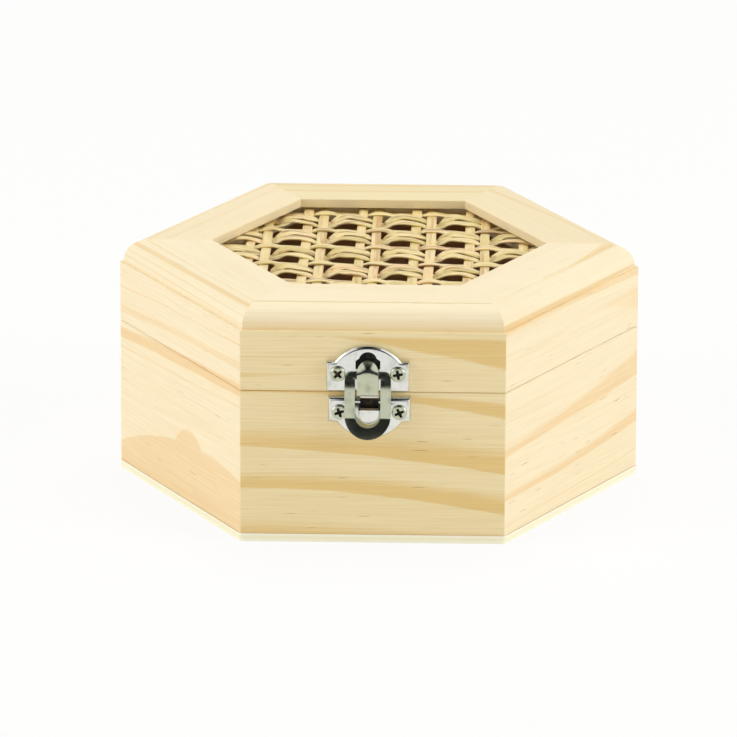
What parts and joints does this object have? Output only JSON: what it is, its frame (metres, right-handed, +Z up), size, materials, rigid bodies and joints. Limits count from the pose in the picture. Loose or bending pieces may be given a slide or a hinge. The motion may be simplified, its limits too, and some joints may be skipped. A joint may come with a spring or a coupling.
{
  "type": "hexagonal box",
  "caption": "Hexagonal wooden box with a hinged lid, a woven cane window and a swing latch, for papers and keepsakes.",
  "frame": {"origin": "middle of the base plate's underside", "axes": "+Z up, -Y towards the latch, corners of the hexagon on the X axis"},
  "size_m": [0.17, 0.1578, 0.0787],
  "materials": {
    "pine": "sanded, unfinished",
    "plywood": "sanded, unfinished",
    "cane": "natural, slightly glossy skin",
    "nickel": "bright nickel plate"
  },
  "bodies": {
    "box": {"base_plate": "plywood", "box_wall_front": "pine", "box_wall_front_right": "pine", "box_wall_back_right": "pine", "box_wall_back": "pine", "box_wall_back_left": "pine", "box_wall_front_left": "pine", "catch_plate": "nickel", "catch_screws": "nickel", "hinge_box_leaf_left": "nickel", "hinge_box_leaf_right": "nickel", "hinge_pin_left": "nickel", "hinge_pin_right": "nickel"},
    "lid": {"lid_wall_front": "pine", "lid_wall_front_right": "pine", "lid_wall_back_right": "pine", "lid_wall_back": "pine", "lid_wall_back_left": "pine", "lid_wall_front_left": "pine", "lid_rail_front": "pine", "lid_rail_front_right": "pine", "lid_rail_back_right": "pine", "lid_rail_back": "pine", "lid_rail_back_left": "pine", "lid_rail_front_left": "pine", "cane_warp": "cane", "cane_weft": "cane", "cane_bead_front": "pine", "cane_bead_front_right": "pine", "cane_bead_back_right": "pine", "cane_bead_back": "pine", "cane_bead_back_left": "pine", "cane_bead_front_left": "pine", "latch_plate": "nickel", "latch_screws": "nickel", "hinge_lid_leaf_left": "nickel", "hinge_lid_leaf_right": "nickel"},
    "hasp": {"hasp": "nickel"}
  },
  "joints": [
    {"name": "lid_hinge", "type": "hinge", "parent": "box", "child": "lid", "pos_m": [0, 0.07571, 0.05078], "axis": [-1, 0, 0], "range_deg": [0, 180]},
    {"name": "hasp_hinge", "type": "hinge", "parent": "lid", "child": "hasp", "pos_m": [-0.00155, -0.07695, 0.05702], "axis": [-1, 0, 0], "range_deg": [0, 150]}
  ]
}
